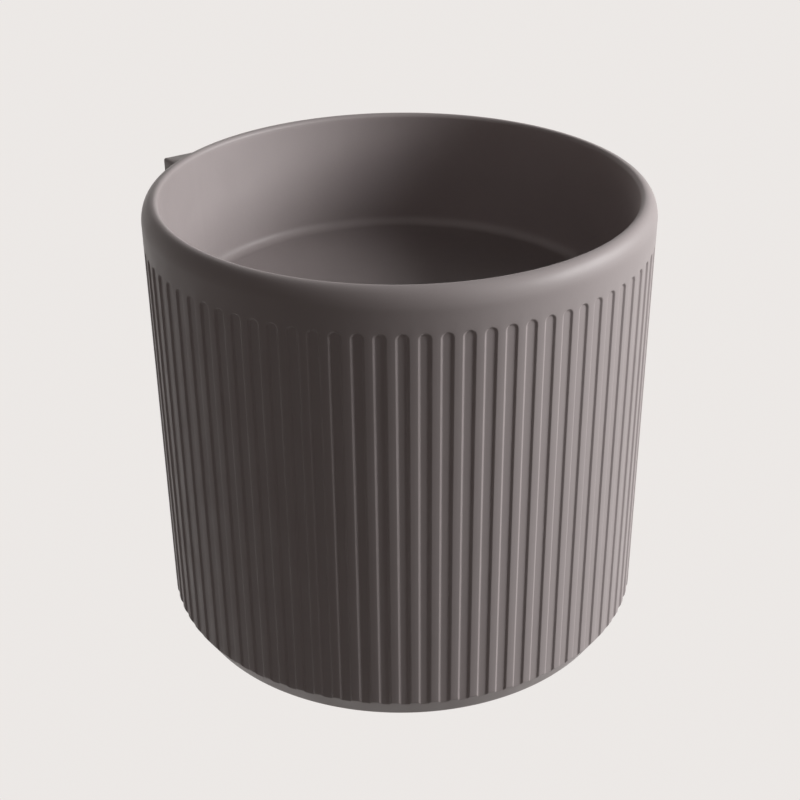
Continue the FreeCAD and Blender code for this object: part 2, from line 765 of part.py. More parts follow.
def make_outlet():
    """Nut, seal, pipe and cover disc: the pipe runs from the trap through the back panel."""
    bore = pipe_radius + tube_clearance
    stub_end = trap_radius + outlet_stub
    seal_end = stub_end + trap_seal_thickness
    place_on_outlet(ring("trap_outlet_seal", bore, trap_thread_radius, stub_end, seal_end))
    low = seal_end + trap_nut_lid - trap_nut_height
    thread = trap_thread_radius + thread_clearance
    nut = union_nut("trap_outlet_nut", thread, bore, low, trap_nut_height, trap_nut_lid)
    place_on_outlet(nut)

    pipe_start = stub_end - outlet_socket + tube_clearance
    pipe_end = wall_distance + pipe_into_wall
    pipe_inner = pipe_radius - pipe_wall
    mark_radius = pipe_radius - pipe_mark_depth
    mark_end = wall_distance + pipe_mark_width
    corners = [(pipe_inner, pipe_start), (pipe_radius, pipe_start), (pipe_radius, wall_distance)]
    corners += [(mark_radius, wall_distance), (mark_radius, mark_end), (pipe_radius, mark_end)]
    corners += [(pipe_radius, pipe_end), (pipe_inner, pipe_end)]
    place_on_outlet(turned("waste_pipe", corners))

    back = back_panel_front
    front = back - rosette_depth
    rosette_radius = pipe_radius + rosette_width
    sleeve_outer = bore + rosette_wall
    fold_radius = sleeve_outer + rosette_fold
    corners = [(bore, front), (fold_radius, front), (rosette_radius, back - rosette_wall * 2)]
    corners += [(rosette_radius, back), (rosette_radius - rosette_wall, back)]
    corners += [(fold_radius - rosette_wall / 2, front + rosette_wall)]
    corners += [(sleeve_outer, front + rosette_wall), (sleeve_outer, back), (bore, back)]
    place_on_outlet(turned("wall_rosette", corners))


# ---------------------------------------------------------------- the wall fixing


def place_on_stud(body, side):
    """Along a stud, lengths are measured from the wall, and those inside the drum are negative."""
    place(body, stud_spacing / 2 * side, 0, 0, Rotation(Vector(1, 0, 0), -90))


def make_fixing(name, side):
    """Hanger bolt, plastic sleeve in the casting's hole, washer and nut."""
    panel_face = -back_panel_thickness
    flange_face = panel_face - sleeve_flange_thickness
    washer_face = flange_face - stud_washer_thickness
    nut_face = washer_face - stud_nut_height
    tip = nut_face - stud_past_nut
    point = stud_into_wall - stud_point_length
    corners = [(0, tip), (stud_thread_radius, tip), (stud_thread_radius, 0), (stud_radius, 0)]
    corners += [(stud_radius, point), (stud_point_radius, stud_into_wall), (0, stud_into_wall)]
    place_on_stud(turned(f"hanger_bolt_{name}", corners), side)

    bore = stud_thread_radius + thread_clearance
    flange = sleeve_radius + sleeve_flange_width
    corners = [(bore, flange_face), (flange, flange_face), (flange, panel_face)]
    corners += [(sleeve_radius, panel_face), (sleeve_radius, 0), (bore, 0)]
    place_on_stud(turned(f"bolt_sleeve_{name}", corners), side)

    rim = stud_thread_radius + stud_washer_width
    place_on_stud(ring(f"bolt_washer_{name}", bore, rim, washer_face, flange_face), side)
    flats = (stud_thread_radius + stud_nut_wall) * 2
    place_on_stud(hex_nut(f"bolt_nut_{name}", flats, bore, nut_face, stud_nut_height), side)


# ---------------------------------------------------------------- build, check and write


def check_everything():
    document.recompute()
    for item in document.Objects:
        if "Invalid" in item.State or "Error" in item.State:
            raise RuntimeError(f"{item.Label} did not build: {item.State}")
    for item in sub_parts:
        if item.Shape.isNull() or not item.Shape.isValid():
            raise RuntimeError(f"{item.Label} has no sound shape")


def write_steps():
    os.makedirs("parts", exist_ok=True)
    for item in sub_parts:
        item.Shape.exportStep(f"parts/{item.Label}.step")
        box = item.Shape.BoundBox
        spans = f"{box.XLength:.1f} x {box.YLength:.1f} x {box.ZLength:.1f}"
        print(f"{item.Label}: {spans} mm, {item.Shape.Volume / 1000:.2f} cm3, {len(item.Shape.Solids)} solid")


make_basin()
make_waste_body()
make_waste_rings()
make_cartridge()
make_plunger()
make_plug()
make_spring()
make_inlet()
make_trap_body()
make_trap_top()
make_trap_cup()
make_outlet()
for side_name, side_sign in (("left", -1), ("right", 1)):
    make_fixing(side_name, side_sign)
check_everything()
write_steps()
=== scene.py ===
import json
import math

import bmesh
import bpy
from mathutils import Matrix, Vector


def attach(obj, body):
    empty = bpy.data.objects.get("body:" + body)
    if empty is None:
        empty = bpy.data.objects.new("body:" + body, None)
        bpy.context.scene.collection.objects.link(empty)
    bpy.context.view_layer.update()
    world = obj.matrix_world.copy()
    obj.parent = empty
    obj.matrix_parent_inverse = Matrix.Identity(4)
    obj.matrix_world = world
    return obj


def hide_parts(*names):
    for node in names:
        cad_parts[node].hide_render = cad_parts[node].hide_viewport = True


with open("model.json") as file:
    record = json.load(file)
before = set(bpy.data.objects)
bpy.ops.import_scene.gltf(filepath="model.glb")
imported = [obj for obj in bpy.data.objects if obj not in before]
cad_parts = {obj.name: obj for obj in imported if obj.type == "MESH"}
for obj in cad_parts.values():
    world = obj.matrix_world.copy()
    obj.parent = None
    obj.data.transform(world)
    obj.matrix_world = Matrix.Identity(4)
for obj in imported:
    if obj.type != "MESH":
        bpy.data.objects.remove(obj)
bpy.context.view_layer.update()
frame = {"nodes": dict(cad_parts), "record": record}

# ---------------------------------------------------------------- sizes in millimetres

MM = 0.001

AXIS_Y = -205.0
FOOT_Z = -215.0

DRUM_RADIUS = 200.0
DRUM_HEIGHT = 368.0
BEVEL_INWARD = 12.8
BEVEL_HEIGHT = 20.7
BEVEL_ANGLE = math.atan2(BEVEL_INWARD, BEVEL_HEIGHT)
FOOT_RADIUS = DRUM_RADIUS - BEVEL_INWARD
FOOT_ROUND = 2.0
CREASE_ROUND = 3.0

FLUTES_ALL_ROUND = 82
FLUTES_MADE = 66
FLUTE_PITCH = 2 * math.pi * DRUM_RADIUS / FLUTES_ALL_ROUND
FLUTE_HALF = 9.3 / 2
FLUTE_DEPTH = 1.4
FLUTE_SLOPE = math.radians(46)
FLUTE_ROUND = 1.3
FLUTE_ARCH = 336.7 - FLUTE_HALF
FLUTED_SIDE_TOP = 345.0
FLUTED_END = math.radians(FLUTES_MADE / 2 * 360 / FLUTES_ALL_ROUND)

LIP_START = 352.3
LIP_CREST_RADIUS = 189.94
BOWL_RIM_RADIUS = 186.6
BOWL_FOOT_RADIUS = 181.0
BOWL_FOOT_Z = 266.0
RECESS_RADIUS = 35.0
RECESS_EDGE_Z = 262.0
RECESS_FLOOR_Z = 257.5

BLOCK_HALF = 106.0
BLOCK_BACK = 205.0
BLOCK_TOP = 354.0
BLOCK_JOIN = 3.5
BLOCK_CORNER = 2.0
TOP_ROUND_SIDE = 4.5
TOP_ROUND_CORNER = 1.8
TOP_ROUND_BACK = 1.5
TOP_ROUND_ROOT = 3.0

HOLLOW_MOUTH = 175.2
HOLLOW_RADIUS = 186.0
HOLLOW_TOP = 244.5
MOUTH_ROUND = 1.6
CEILING_ROUND = 10.0
POCKET_HALF = 94.0
POCKET_BACK = 191.0
POCKET_CORNER = 6.0

WASTE_HOLE = 22.5
BOLT_HOLE = 6.65
BOLT_X = 70.0
BOLT_Z = 215.0
PIPE_HOLE = 19.5
PIPE_Z = 133.0

# ---------------------------------------------------------------- how finely the mesh is divided

# counts of steps and rows, heights in millimetres, angles in degrees, the weld in metres
ARC_STEPS = 4
SUPPORT_REACH = 3.0
SIDE_RAYS = (0, 12, 24, 36, 48)
TOP_RAYS = (67, 75, 82.5)
BAND_ROWS = (348.0, 349.5, 351.0, LIP_START, 353.3, 354.3, 355.3, 356.4)
LIP_ROWS_START = 358.5
LIP_ROWS = 9
LAND_STEPS = 2
JOIN_STEPS = 8
SIDE_STEPS = 6
CORNER_STEPS = 6
BACK_STEPS = 24
EDGE_TURNS = (30, 60, 90)
HOLLOW_STEPS = 140
BORE_STEPS = 64
WELD_DISTANCE = 0.00001


def place(x, y, z):
    """A point measured from the drum's axis and foot, in the frame's metres."""
    return Vector((x, y + AXIS_Y, z + FOOT_Z)) * MM


def on_circle(radius, angle):
    """(x, y) round the drum's axis, at an angle from its front that grows towards +X."""
    return radius * math.sin(angle), -radius * math.cos(angle)


def rounded(corners, rounds, steps):
    """A line of (radius, height) points with each inner corner turned into an arc of its own."""
    line = [Vector(corners[0])]
    for before, corner, after, round_ in zip(corners, corners[1:], corners[2:], rounds):
        corner = Vector(corner)
        to_before = (Vector(before) - corner).normalized()
        to_after = (Vector(after) - corner).normalized()
        opening = to_before.angle(to_after)
        centre = corner + (to_before + to_after).normalized() * (round_ / math.sin(opening / 2))
        start = corner + to_before * (round_ / math.tan(opening / 2)) - centre
        end = corner + to_after * (round_ / math.tan(opening / 2)) - centre
        sweep = start.angle(end)
        for step in range(steps + 1):
            part = step / steps
            arc = start * math.sin((1 - part) * sweep) + end * math.sin(part * sweep)
            line.append(centre + arc / math.sin(sweep))
    line.append(Vector(corners[-1]))
    return line


def with_supports(line):
    """The line with points close to the ends of its long runs, which keep their shading flat."""
    full = [line[0]]
    for start, end in zip(line, line[1:]):
        run = end - start
        if run.length > SUPPORT_REACH * 4:
            full.append(start + run.normalized() * SUPPORT_REACH)
            full.append(end - run.normalized() * SUPPORT_REACH)
        full.append(end)
    return full


# ---------------------------------------------------------------- meshes and their objects

def mesh_object(name, mesh):
    piece = bpy.data.objects.new(name, mesh)
    bpy.context.scene.collection.objects.link(piece)
    return piece


def mesh_of(shape, name):
    """The faces gathered in a bmesh as a mesh, with the bmesh freed."""
    mesh = bpy.data.meshes.new(name)
    shape.to_mesh(mesh)
    shape.free()
    return mesh


def finished_mesh(piece, name):
    """The evaluated shape of a piece as a plain mesh of its own, in place of the piece."""
    graph = bpy.context.evaluated_depsgraph_get()
    mesh = bpy.data.meshes.new_from_object(piece.evaluated_get(graph),
                                           preserve_all_data_layers=True, depsgraph=graph)
    mesh.name = name
    bpy.data.objects.remove(piece)
    return mesh


def gathered(parts):
    """A bmesh that holds the faces of several meshes, which are then removed."""
    shape = bmesh.new()
    for part in parts:
        shape.from_mesh(part)
        bpy.data.meshes.remove(part)
    return shape


def join_rows(shape, low, high):
    """Faces between two open rows of as many points."""
    for column in range(len(low) - 1):
        shape.faces.new((low[column], low[column + 1], high[column + 1], high[column]))


def joined_rings(name, rows):
    """A closed mesh of rings of as many points, with a face over the first and the last."""
    shape = bmesh.new()
    rings = [[shape.verts.new(place(*point)) for point in row] for row in rows]
    for low, high in zip(rings, rings[1:]):
        for column in range(len(low)):
            after = (column + 1) % len(low)
            shape.faces.new((low[column], low[after], high[after], high[column]))
    shape.faces.new(list(reversed(rings[0])))
    shape.faces.new(rings[-1])
    bmesh.ops.recalc_face_normals(shape, faces=shape.faces[:])
    return mesh_of(shape, name)


def ring(radius, reach, centre, along, steps):
    """Points round an axis through centre, along Y or Z, at a reach along it."""
    points = []
    for step in range(steps):
        angle = 2 * math.pi * step / steps
        first, second = centre[0] + radius * math.cos(angle), centre[1] + radius * math.sin(angle)
        points.append((first, reach, second) if along == "Y" else (first, second, reach))
    return points


def smoothed(mesh, finish, sharp):
    """Gives all faces a finish and smooth shading, with sharp edges over an angle in degrees."""
    mesh.materials.clear()
    mesh.materials.append(finish)
    for face in mesh.polygons:
        face.material_index = 0
        face.use_smooth = True
    mesh.set_sharp_from_angle(angle=math.radians(sharp))


# ---------------------------------------------------------------- node trees

class Nodes:
    """A node tree's nodes and links, with the steps that more than one tree takes."""

    def __init__(self, tree):
        self.nodes, self.links = tree.nodes, tree.links

    def feed(self, socket, value):
        """Gives a socket a number, a colour or another node's output."""
        if hasattr(value, "is_linked"):
            self.links.new(value, socket)
        elif isinstance(value, tuple):
            socket.default_value = (*value, 1.0)
        elif value is not None:
            socket.default_value = value

    def number(self, kind, first, second=None):
        node = self.nodes.new("ShaderNodeMath")
        node.operation = kind
        self.feed(node.inputs[0], first)
        self.feed(node.inputs[1], second)
        return node.outputs[0]

    def split(self, vector):
        node = self.nodes.new("ShaderNodeSeparateXYZ")
        self.feed(node.inputs[0], vector)
        return node.outputs

    def by_ray(self, lighting, seen, out):
        """One shader for light on its way to the basin, another for what is seen or mirrored."""
        path = self.nodes.new("ShaderNodeLightPath").outputs
        result = path["Is Camera Ray"]
        for name in ("Is Glossy Ray", "Is Transmission Ray"):
            result = self.number("MAXIMUM", result, path[name])
        mix = self.nodes.new("ShaderNodeMixShader")
        for socket, value in zip(mix.inputs, (result, lighting, seen)):
            self.feed(socket, value)
        self.feed(out, mix.outputs[0])


class ShapeTree(Nodes):
    """A Geometry Nodes tree with named inputs, its sums and its run on a piece."""

    def __init__(self, name, inputs, result):
        self.tree = bpy.data.node_groups.new(name, "GeometryNodeTree")
        self.tree.is_modifier = True
        super().__init__(self.tree)
        kinds = {"shape": "NodeSocketGeometry", "count": "NodeSocketInt",
                 "size": "NodeSocketFloat", "place": "NodeSocketVector",
                 "finish": "NodeSocketMaterial"}
        for title, kind in [("Piece", "shape")] + inputs:
            self.tree.interface.new_socket(title, in_out="INPUT", socket_type=kinds[kind])
        self.tree.interface.new_socket(result, in_out="OUTPUT", socket_type=kinds["shape"])
        self.given = self.nodes.new("NodeGroupInput").outputs
        self.out = self.nodes.new("NodeGroupOutput").inputs[0]

    def within(self, value):
        """The value held between 0 and 1."""
        node = self.nodes.new("ShaderNodeClamp")
        self.feed(node.inputs["Value"], value)
        return node.outputs[0]

    def vector(self, x, y, z):
        node = self.nodes.new("ShaderNodeCombineXYZ")
        for socket, value in zip(node.inputs, (x, y, z)):
            self.feed(socket, value)
        return node.outputs[0]

    def position(self):
        return self.split(self.nodes.new("GeometryNodeInputPosition").outputs[0])

    def step(self, kind, shape, **sockets):
        node = self.nodes.new(kind)
        self.feed(node.inputs[0], shape)
        for name, value in sockets.items():
            self.feed(node.inputs[name], value)
        return node.outputs[0]

    def moved(self, shape, x, y, z, shift):
        """The shape with its points at x, y, z from a place."""
        add = self.nodes.new("ShaderNodeVectorMath")
        add.operation = "ADD"
        self.feed(add.inputs[0], self.vector(x, y, z))
        self.feed(add.inputs[1], shift)
        shape = self.step("GeometryNodeSetPosition", shape, Position=add.outputs[0])
        return self.step("GeometryNodeMergeByDistance", shape, Distance=WELD_DISTANCE / 2)

    def end(self, shape):
        finish = self.given["Finish"]
        self.feed(self.out, self.step("GeometryNodeSetMaterial", shape, Material=finish))

    def run(self, mesh, **values):
        """The plain mesh that the tree makes of a mesh with these values for its inputs."""
        piece = mesh_object(mesh.name, mesh)
        modifier = piece.modifiers.new("shape", "NODES")
        modifier.node_group = self.tree
        for item in self.tree.interface.items_tree:
            name = item.name.replace(" ", "_")
            if item.in_out == "INPUT" and name in values:
                modifier[item.identifier] = values[name]
        return finished_mesh(piece, mesh.name)


# ---------------------------------------------------------------- fluted side

def foot_rows(depth):
    """(radius, height) from the foot's flat up past the bevel, at a depth inside the drum."""
    rows = []
    slope = math.pi / 2 - BEVEL_ANGLE
    centre = (FOOT_RADIUS - FOOT_ROUND * math.tan(slope / 2), FOOT_ROUND)
    for step in range(ARC_STEPS + 1):
        turn = -math.pi / 2 + slope * step / ARC_STEPS
        rows.append((centre[0] + FOOT_ROUND * math.cos(turn),
                     centre[1] + FOOT_ROUND * math.sin(turn)))
    crease = BEVEL_HEIGHT * (1 - depth / BEVEL_INWARD)
    tangent = CREASE_ROUND * math.tan(BEVEL_ANGLE / 2)
    foot_support = 2.0
    crease_support = crease - tangent * math.cos(BEVEL_ANGLE) - 2.5
    for height in (foot_support, crease_support):
        rows.append((FOOT_RADIUS + height * math.tan(BEVEL_ANGLE), height))
    centre = (DRUM_RADIUS - depth - CREASE_ROUND, crease + tangent)
    for step in range(ARC_STEPS + 1):
        turn = -BEVEL_ANGLE * (1 - step / ARC_STEPS)
        rows.append((centre[0] + CREASE_ROUND * math.cos(turn),
                     centre[1] + CREASE_ROUND * math.sin(turn)))
    side_support = 26.0
    for height in (side_support, FLUTE_ARCH - SUPPORT_REACH, FLUTE_ARCH):
        rows.append((DRUM_RADIUS - depth, height))
    return rows


def flute_section():
    """(distance from the flute's middle line, depth) from the floor out to the land."""
    beside_middle = 1.3
    floor_half = FLUTE_HALF - FLUTE_DEPTH * math.tan(FLUTE_SLOPE)
    corners = [(0, FLUTE_DEPTH), (floor_half, FLUTE_DEPTH), (FLUTE_HALF, 0), (FLUTE_PITCH / 2, 0)]
    line = rounded(corners, [FLUTE_ROUND, FLUTE_ROUND], ARC_STEPS)
    return [(beside_middle, FLUTE_DEPTH)] + [tuple(point) for point in line[1:]]


def arch_rays():
    """The angles of the spokes over a flute's arch, from its right side round to its left."""
    corner = math.atan2(FLUTED_SIDE_TOP - FLUTE_ARCH, FLUTE_PITCH / 2)
    side = [math.radians(angle) for angle in SIDE_RAYS] + [corner]
    rays = side + [math.radians(angle) for angle in TOP_RAYS] + [math.pi / 2]
    return rays + [math.pi - ray for ray in reversed(rays[:-1])]


def flute_strip():
    """One flute and half a land on each side, laid flat: across X, depth Y, height Z."""
    strip = bmesh.new()
    section = flute_section()
    side = len(section)
    columns = [(-across, depth) for across, depth in reversed(section)]
    columns += [(0, FLUTE_DEPTH)] + section
    grid = []
    for across, depth in columns:
        grid.append([strip.verts.new(Vector((across, DRUM_RADIUS - radius, height)) * MM)
                     for radius, height in foot_rows(depth)])
    for left, right in zip(grid, grid[1:]):
        for row in range(len(left) - 1):
            strip.faces.new((left[row], right[row], right[row + 1], left[row + 1]))
    middle = grid[side][-1]
    rings = [[grid[side + 1 + column][-1] for column in range(side)]]
    for ray in arch_rays()[1:-1]:
        reach_side = FLUTE_PITCH / 2 / max(abs(math.cos(ray)), 1e-9)
        reach_top = (FLUTED_SIDE_TOP - FLUTE_ARCH) / math.sin(ray)
        spoke = []
        for across, depth in section[:-1] + [(min(reach_side, reach_top), 0)]:
            height = FLUTE_ARCH + across * math.sin(ray)
            spoke.append(strip.verts.new(Vector((across * math.cos(ray), depth, height)) * MM))
        rings.append(spoke)
    rings.append([grid[side - 1 - column][-1] for column in range(side)])
    for near, far in zip(rings, rings[1:]):
        strip.faces.new((middle, near[0], far[0]))
        join_rows(strip, near, far)
    return mesh_of(strip, "flute_strip")


def flutes_round_the_drum(glaze):
    """Repeats the strip along a line and bends the line round the drum."""
    inputs = [("Flutes", "count"), ("Pitch", "size"), ("Drum radius", "size"),
              ("Drum foot", "place"), ("Finish", "finish")]
    tree = ShapeTree("flutes_round_the_drum", inputs, "Fluted side")
    given = tree.given
    before = tree.number("MULTIPLY", tree.number("SUBTRACT", given["Flutes"], 1), -0.5)
    first = tree.number("MULTIPLY", before, given["Pitch"])
    line = tree.nodes.new("GeometryNodeMeshLine")
    tree.feed(line.inputs["Count"], given["Flutes"])
    tree.feed(line.inputs["Start Location"], tree.vector(first, 0, 0))
    tree.feed(line.inputs["Offset"], tree.vector(given["Pitch"], 0, 0))
    repeated = tree.step("GeometryNodeInstanceOnPoints", line.outputs["Mesh"],
                         Instance=given["Piece"])
    real = tree.step("GeometryNodeRealizeInstances", repeated)
    flat = tree.position()
    angle = tree.number("DIVIDE", flat["X"], given["Drum radius"])
    radius = tree.number("SUBTRACT", given["Drum radius"], flat["Y"])
    east = tree.number("MULTIPLY", radius, tree.number("SINE", angle))
    north = tree.number("MULTIPLY", tree.number("MULTIPLY", radius, -1),
                        tree.number("COSINE", angle))
    tree.end(tree.moved(real, east, north, flat["Z"], given["Drum foot"]))
    return tree.run(flute_strip(), Flutes=FLUTES_MADE, Pitch=FLUTE_PITCH * MM,
                    Drum_radius=DRUM_RADIUS * MM, Drum_foot=place(0, 0, 0), Finish=glaze)


# ---------------------------------------------------------------- rear block, rim and bowl

def block_outline(radius, inset):
    """Half of the plan behind the flutes: from the last land round the block to its middle."""
    half, back = BLOCK_HALF - inset, BLOCK_BACK - inset
    centre = Vector((half + BLOCK_JOIN,
                     math.sqrt((radius + BLOCK_JOIN) ** 2 - (half + BLOCK_JOIN) ** 2)))
    meets = math.pi - math.atan2(centre.x, centre.y)
    points = []
    for step in range(LAND_STEPS + 1):
        points.append(on_circle(radius, FLUTED_END + (meets - FLUTED_END) * step / LAND_STEPS))
    start = math.atan2(-centre.y, -centre.x) % (2 * math.pi)
    for step in range(1, JOIN_STEPS + 1):
        angle = start + (math.pi - start) * step / JOIN_STEPS
        points.append((centre.x + BLOCK_JOIN * math.cos(angle),
                       centre.y + BLOCK_JOIN * math.sin(angle)))
    for step in range(1, SIDE_STEPS + 1):
        points.append((half, centre.y + (back - BLOCK_CORNER - centre.y) * step / SIDE_STEPS))
    for step in range(1, CORNER_STEPS + 1):
        angle = math.pi / 2 * step / CORNER_STEPS
        points.append((half - BLOCK_CORNER + BLOCK_CORNER * math.cos(angle),
                       back - BLOCK_CORNER + BLOCK_CORNER * math.sin(angle)))
    for step in range(1, BACK_STEPS + 1):
        points.append(((half - BLOCK_CORNER) * (1 - step / BACK_STEPS), back))
    return points


def outline_inward():
    """(x, y) inward at each point of the outline, and the round of the block's top edge there."""
    turns = [None] * (LAND_STEPS + 1)
    turns += [(-1.0, 0.0, TOP_ROUND_SIDE)] * JOIN_STEPS
    for step in range(1, SIDE_STEPS + 1):
        less = (TOP_ROUND_SIDE - TOP_ROUND_CORNER) * (step / SIDE_STEPS) ** 2
        turns.append((-1.0, 0.0, TOP_ROUND_SIDE - less))
    for step in range(1, CORNER_STEPS + 1):
        angle = math.pi / 2 * step / CORNER_STEPS
        less = (TOP_ROUND_CORNER - TOP_ROUND_BACK) * step / CORNER_STEPS
        turns.append((-math.cos(angle), -math.sin(angle), TOP_ROUND_CORNER - less))
    return turns + [(0.0, -1.0, TOP_ROUND_BACK)] * BACK_STEPS


def whole_outline(radius, inset):
    """Both halves of the outline: right to left round the back."""
    half = block_outline(radius, inset)
    return half + [(-x, y) for x, y in reversed(half[:-1])]


def drum_outside(height):
    """The drum's radius at a height above the flutes, where the lip starts to turn in."""
    part = max(height - LIP_START, 0.0) / (DRUM_HEIGHT - LIP_START)
    return LIP_CREST_RADIUS + (DRUM_RADIUS - LIP_CREST_RADIUS) * math.sqrt(1 - part * part)


def lip_line():
    """(radius, height) round the outside of the lip, up to just short of its crest."""
    start = math.asin((LIP_ROWS_START - LIP_START) / (DRUM_HEIGHT - LIP_START))
    line = []
    for step in range(LIP_ROWS):
        turn = start + (math.pi / 2 - start) * step / LIP_ROWS
        line.append((LIP_CREST_RADIUS + (DRUM_RADIUS - LIP_CREST_RADIUS) * math.cos(turn),
                     LIP_START + (DRUM_HEIGHT - LIP_START) * math.sin(turn)))
    return line


def bowl_line():
    """(radius, height) from the lip's crest down the bowl to the middle of the recess."""
    inside_waste_hole = 10.0
    rounds_and_steps = ((3.3, 6), (9.0, 8), (1.4, 4), (1.0, 3))
    corners = [(LIP_CREST_RADIUS, DRUM_HEIGHT), (BOWL_RIM_RADIUS, DRUM_HEIGHT),
               (BOWL_FOOT_RADIUS, BOWL_FOOT_Z), (RECESS_RADIUS, RECESS_EDGE_Z),
               (RECESS_RADIUS, RECESS_FLOOR_Z), (inside_waste_hole, RECESS_FLOOR_Z)]
    line = []
    for index, (round_, steps) in enumerate(rounds_and_steps):
        line += rounded(corners[index:index + 3], [round_], steps)[1:-1]
    return [Vector(corners[0])] + with_supports(line) + [Vector(corners[-1])]


def front_angles():
    """Where the tops of the flutes' strips have their points, round the front of the drum."""
    beside = len(SIDE_RAYS)
    across = []
    for ray in arch_rays()[beside:-beside]:
        upright = abs(ray - math.pi / 2) < 1e-6
        across.append(0.0 if upright else -(FLUTED_SIDE_TOP - FLUTE_ARCH) / math.tan(ray))
    angles = []
    for flute in range(FLUTES_MADE):
        middle = (flute - (FLUTES_MADE - 1) / 2) * FLUTE_PITCH
        angles += [(middle + step) / DRUM_RADIUS for step in across[:-1]]
    return angles


def lip_and_bowl_column(angle):
    return [(*on_circle(radius, angle), height) for radius, height in lip_line() + bowl_line()]


def front_column(angle):
    """Points from over the flutes up the plain band, round the lip and down the bowl."""
    band = [(*on_circle(drum_outside(height), angle), height) for height in BAND_ROWS]
    return band + lip_and_bowl_column(angle)


def block_column(x, y, turn):
    """Points from the block's side over its top edge, in to the drum, and on as in front."""
    top_share, root_share = 0.6, 0.4
    gap = math.hypot(x, y) - DRUM_RADIUS
    top_round = min(turn[2], gap * top_share)
    root_round = min(TOP_ROUND_ROOT, gap * root_share)
    angle = math.atan2(x + turn[0] * top_round, -y - turn[1] * top_round)
    column = []
    for degrees in (0,) + EDGE_TURNS:
        move = top_round * (1 - math.cos(math.radians(degrees)))
        rise = top_round * math.sin(math.radians(degrees))
        column.append((x + turn[0] * move, y + turn[1] * move, BLOCK_TOP - top_round + rise))
    for degrees in (0,) + EDGE_TURNS:
        height = BLOCK_TOP + root_round * (1 - math.cos(math.radians(degrees)))
        out = root_round * (1 - math.sin(math.radians(degrees)))
        column.append((*on_circle(drum_outside(height) + out, angle), height))
    return column + lip_and_bowl_column(angle)


def rear_and_bowl():
    """The skin behind the flutes, and the plain band, lip and bowl all round, as one open sheet."""
    skin = bmesh.new()
    border = foot_rows(0.0)
    for ray in arch_rays()[1:len(SIDE_RAYS)]:
        border.append((DRUM_RADIUS, FLUTE_ARCH + FLUTE_PITCH / 2 * math.tan(ray)))
    border.append((DRUM_RADIUS, FLUTED_SIDE_TOP))
    rows = []
    for radius, height in border:
        under = max(BLOCK_CORNER - height, 0.0)
        inset = BLOCK_CORNER - math.sqrt(BLOCK_CORNER ** 2 - under ** 2)
        rows.append([skin.verts.new(place(x, y, height)) for x, y in whole_outline(radius, inset)])
    for low, high in zip(rows, rows[1:]):
        join_rows(skin, low, high)

    front = front_angles()
    edge = [skin.verts.new(place(*on_circle(DRUM_RADIUS, angle), FLUTED_SIDE_TOP))
            for angle in front]
    edge += rows[-1][:-1]

    half_turns = outline_inward()
    turns = half_turns + [turn and (-turn[0], *turn[1:]) for turn in reversed(half_turns[:-1])]
    columns = [front_column(angle) for angle in front[::2]]
    for (x, y), turn in list(zip(whole_outline(DRUM_RADIUS, 0.0), turns))[:-1:2]:
        columns.append(block_column(x, y, turn) if turn else front_column(math.atan2(x, -y)))
    upper = [[skin.verts.new(place(*point)) for point in column] for column in columns]
    drain = skin.verts.new(place(0, 0, RECESS_FLOOR_Z))
    for index, here in enumerate(upper):
        there = upper[(index + 1) % len(upper)]
        first, second, third = (edge[(index * 2 + step) % len(edge)] for step in range(3))
        skin.faces.new((first, second, third, there[0], here[0]))
        for row in range(len(here) - 1):
            skin.faces.new((here[row], there[row], there[row + 1], here[row + 1]))
        skin.faces.new((here[-1], there[-1], drain))
    return mesh_of(skin, "rear_and_bowl")


# ---------------------------------------------------------------- hollow and holes

def hollow_loop(radius, half, back, height):
    """The plan of the space inside the drum and of its pocket in the block, at a height."""
    side_steps, back_steps = 4, 8
    meets = math.pi - math.asin(half / radius)
    points = []
    for step in range(HOLLOW_STEPS):
        points.append(on_circle(radius, -meets + 2 * meets * step / HOLLOW_STEPS))
    joins = -radius * math.cos(meets)
    side = [(half, joins + (back - POCKET_CORNER - joins) * step / side_steps)
            for step in range(side_steps)]
    for step in range(CORNER_STEPS + 1):
        angle = math.pi / 2 * step / CORNER_STEPS
        side.append((half - POCKET_CORNER + POCKET_CORNER * math.cos(angle),
                     back - POCKET_CORNER + POCKET_CORNER * math.sin(angle)))
    side += [((half - POCKET_CORNER) * (1 - step / back_steps), back)
             for step in range(1, back_steps + 1)]
    points += side + [(-x, y) for x, y in reversed(side[:-1])][:-1]
    return [(x, y, height) for x, y in points]


def hollow_cutter():
    """The space inside the drum and the block, open at the foot."""
    rows = []
    taper = (HOLLOW_RADIUS - HOLLOW_MOUTH) / BEVEL_HEIGHT
    for height in (-6.0, 0.0, 0.12, 0.45, 0.95, MOUTH_ROUND):
        level = max(height, 0.0)
        flare = MOUTH_ROUND - math.sqrt(max(MOUTH_ROUND ** 2 - (MOUTH_ROUND - level) ** 2, 0.0))
        rows.append(hollow_loop(HOLLOW_MOUTH + level * taper + flare,
                                POCKET_HALF + flare, POCKET_BACK + flare, height))
    for height in (17.0, 19.5, BEVEL_HEIGHT, 22.5, 30.0, 228.0):
        radius = HOLLOW_MOUTH + min(height, BEVEL_HEIGHT) * taper
        rows.append(hollow_loop(radius, POCKET_HALF, POCKET_BACK, height))
    ceiling_steps = 8
    for step in range(ceiling_steps + 1):
        turn = math.pi / 2 * step / ceiling_steps
        inset = CEILING_ROUND * (1 - math.cos(turn))
        height = HOLLOW_TOP - CEILING_ROUND + CEILING_ROUND * math.sin(turn)
        rows.append(hollow_loop(HOLLOW_RADIUS - inset, POCKET_HALF - inset,
                                POCKET_BACK - inset, height))
    return joined_rings("hollow", rows)


